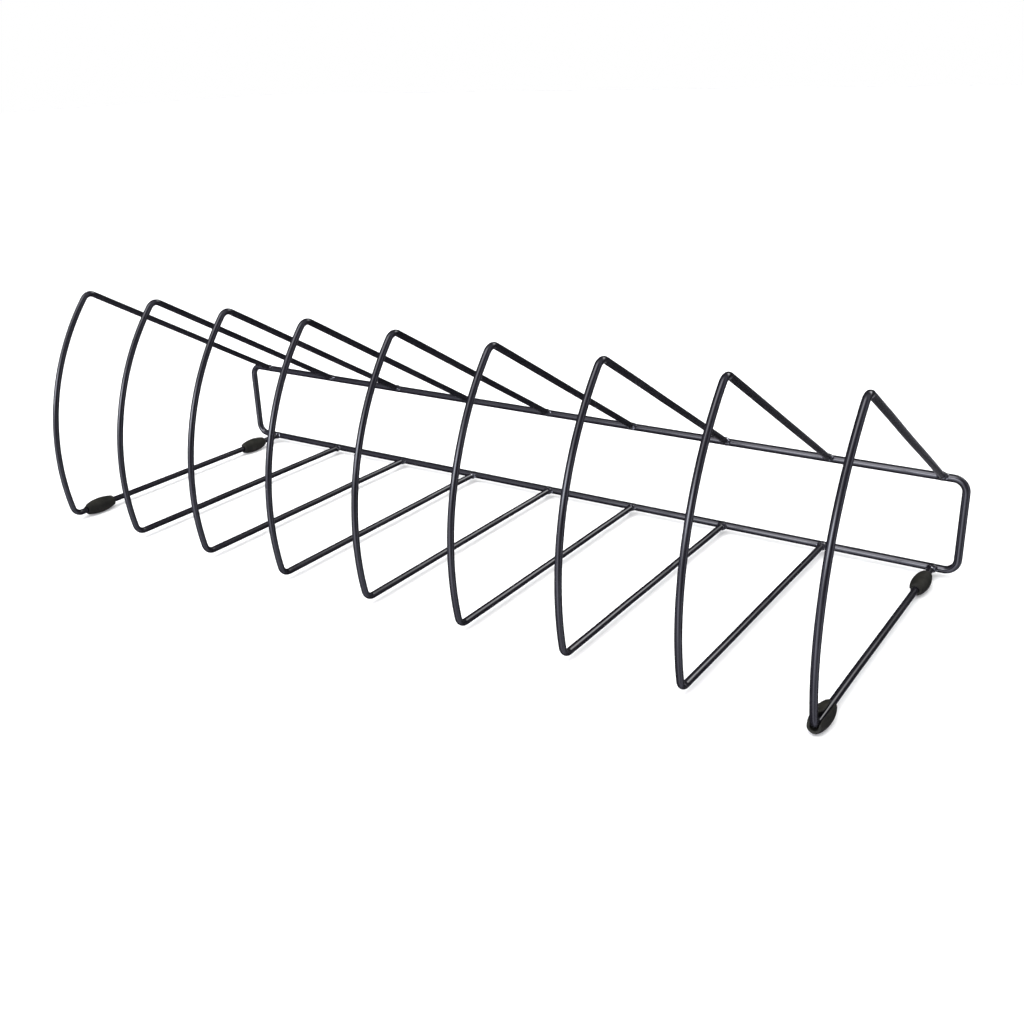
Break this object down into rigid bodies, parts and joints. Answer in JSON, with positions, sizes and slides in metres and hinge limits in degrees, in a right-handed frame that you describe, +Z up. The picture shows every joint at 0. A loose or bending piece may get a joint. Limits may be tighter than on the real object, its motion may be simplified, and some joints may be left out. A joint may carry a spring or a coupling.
{
  "type": "plate display stand",
  "caption": "Welded round-wire rack that holds plates upright: a low rectangular rear frame with curved triangular wire dividers reaching forward, on rubber sleeve feet.",
  "frame": {"origin": "on the resting surface, under the centre of the stand's outer box", "axes": "+Z up, +X along the rack, -Y towards the front where the curved dividers stand, +Y towards the rear frame"},
  "size_m": [0.601, 0.221, 0.1619],
  "materials": {
    "wire_coating": "glossy black powder coat over steel wire, slightly orange-peeled",
    "foot_rubber": "matte black moulded rubber"
  },
  "bodies": {
    "root": {"rear_frame": "wire_coating", "frame_butt_weld": "wire_coating", "divider_1": "wire_coating", "divider_2": "wire_coating", "divider_3": "wire_coating", "divider_4": "wire_coating", "divider_5": "wire_coating", "divider_6": "wire_coating", "divider_7": "wire_coating", "divider_8": "wire_coating", "divider_9": "wire_coating", "upper_welds": "wire_coating", "lower_welds": "wire_coating", "foot_front_left": "foot_rubber", "foot_front_right": "foot_rubber", "foot_rear_left": "foot_rubber", "foot_rear_right": "foot_rubber"}
  },
  "joints": []
}
